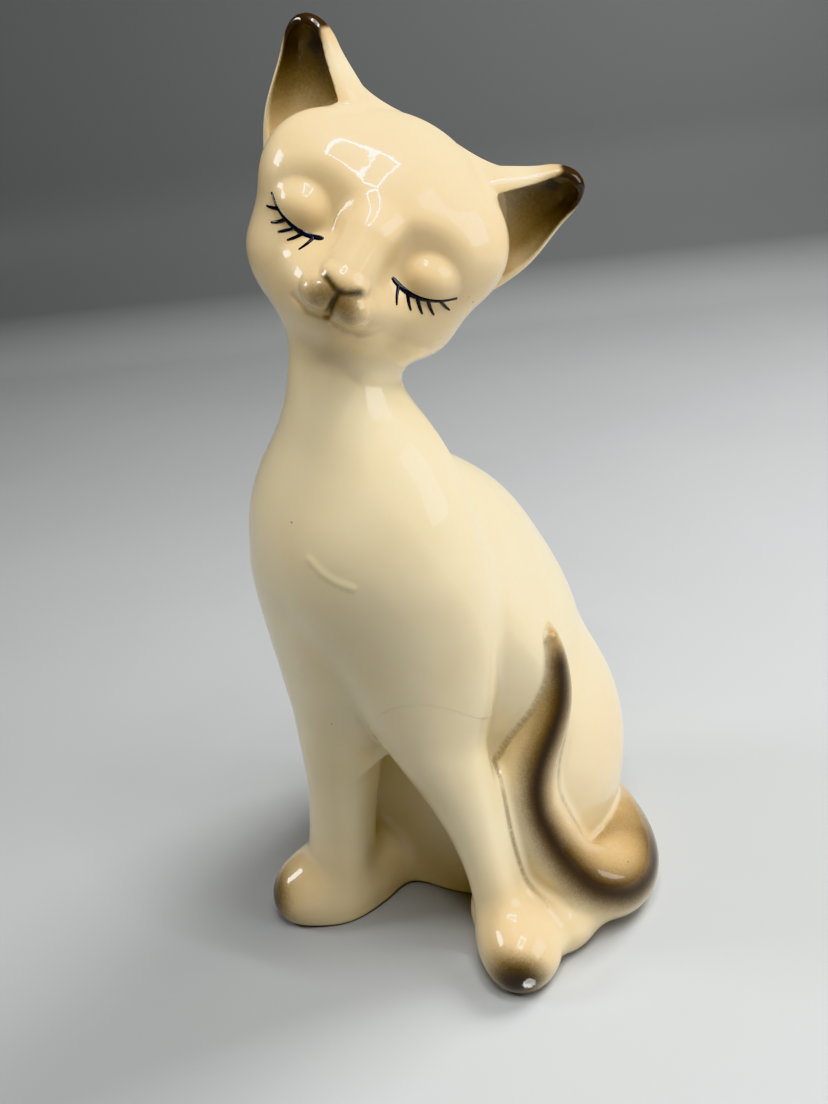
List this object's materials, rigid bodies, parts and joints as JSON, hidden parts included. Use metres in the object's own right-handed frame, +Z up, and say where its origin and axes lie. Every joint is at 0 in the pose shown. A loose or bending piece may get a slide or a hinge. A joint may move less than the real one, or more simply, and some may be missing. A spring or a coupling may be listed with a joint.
{
  "type": "ceramic cat figurine",
  "caption": "Tall sitting cat ornament in cream glazed ceramic with its head tilted, eyes shut, lashes painted, and its tail curled up one flank.",
  "frame": {"origin": "on the shelf plane under the torso, on the cat's own middle plane, between the forefeet and the rump", "axes": "+Z up, -Y the way the cat faces, +X the cat's left"},
  "size_m": [0.0912, 0.0966, 0.2115],
  "materials": {
    "cream_glaze": "high-gloss clear glaze over ivory slip",
    "face_glaze": "high-gloss clear glaze over an airbrushed tan blush",
    "ear_glaze": "high-gloss clear glaze over airbrushed brown fading to cream",
    "leg_glaze": "high-gloss clear glaze over ivory slip, brown airbrushed toes",
    "tail_glaze": "high-gloss clear glaze over an airbrushed dark brown band",
    "lash_enamel": "raised glossy black overglaze enamel"
  },
  "bodies": {
    "root": {"torso_shell": "cream_glaze", "head_shell": "face_glaze", "left_ear": "ear_glaze", "right_ear": "ear_glaze", "left_foreleg": "leg_glaze", "right_foreleg": "leg_glaze", "left_hind_paw": "leg_glaze", "right_hind_paw": "leg_glaze", "tail": "tail_glaze", "left_lashes": "lash_enamel", "right_lashes": "lash_enamel"}
  },
  "joints": []
}
